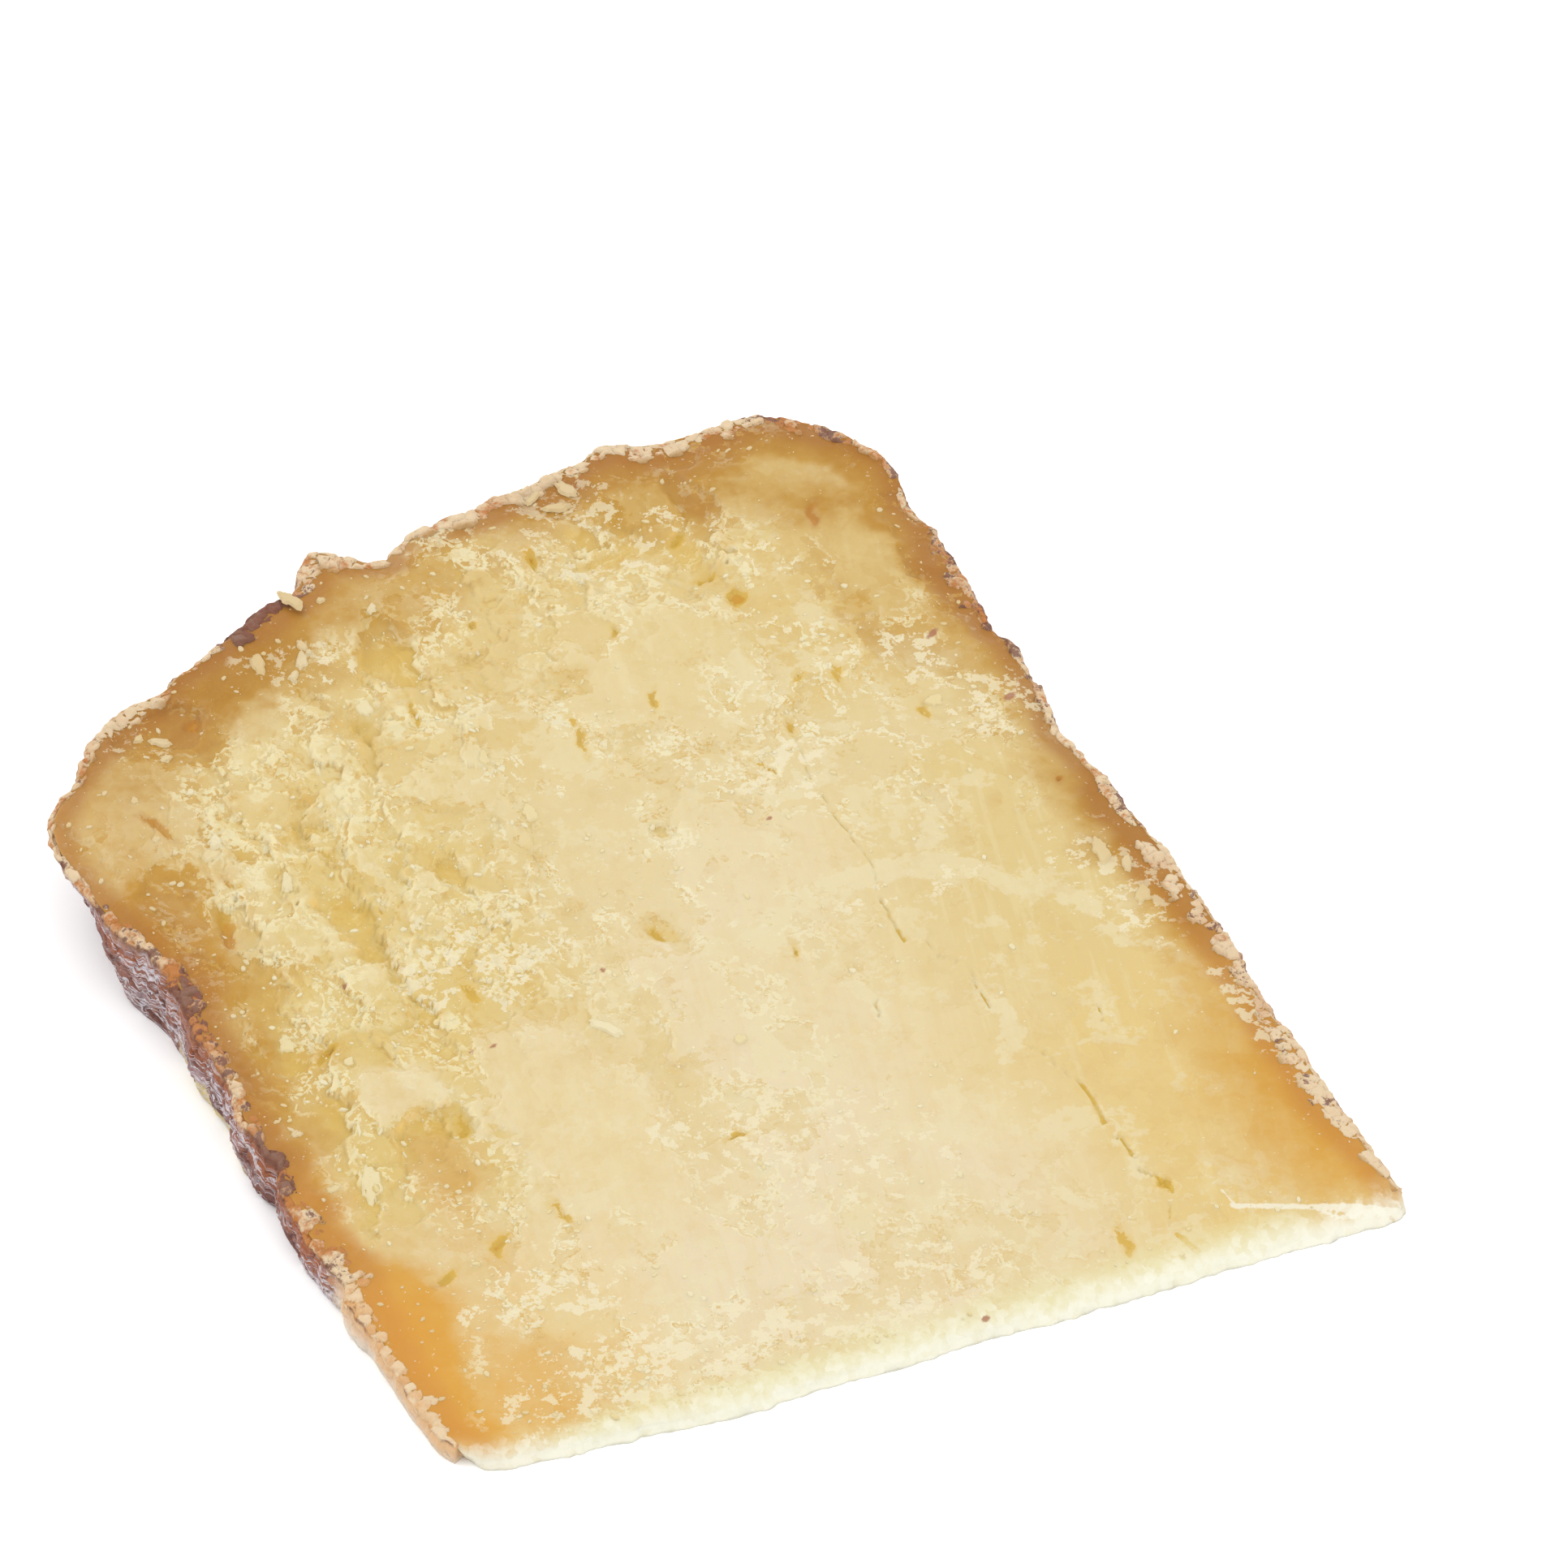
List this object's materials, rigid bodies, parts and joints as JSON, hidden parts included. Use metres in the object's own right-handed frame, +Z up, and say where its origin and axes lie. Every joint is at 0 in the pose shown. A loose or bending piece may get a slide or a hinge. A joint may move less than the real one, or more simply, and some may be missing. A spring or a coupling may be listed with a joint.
{
  "type": "slice of aged pecorino toscano cheese",
  "caption": "Thin wedge slice of a hard, aged sheep's milk cheese lying on a cut face, with craggy pale yellow paste and a worn brown rind on its sides and heel.",
  "frame": {"origin": "middle of the flat cut face that the slice lies on, under the middle of its box", "axes": "+Z up through the slice's thickness to the cut face that shows; +Y from the thin tip, at the wheel's axis, out to the rind at the heel; X across the wheel's height, from one flat rind face to the other"},
  "size_m": [0.0846, 0.1112, 0.0112],
  "materials": {
    "cheese_paste": "waxy, slightly translucent pale yellow paste with whitish torn flakes and ochre hollows",
    "cheese_rind": "dry, rough, tan to purple brown rind with threads of white mould"
  },
  "bodies": {
    "root": {"cheese_slice": "cheese_paste"}
  },
  "joints": []
}
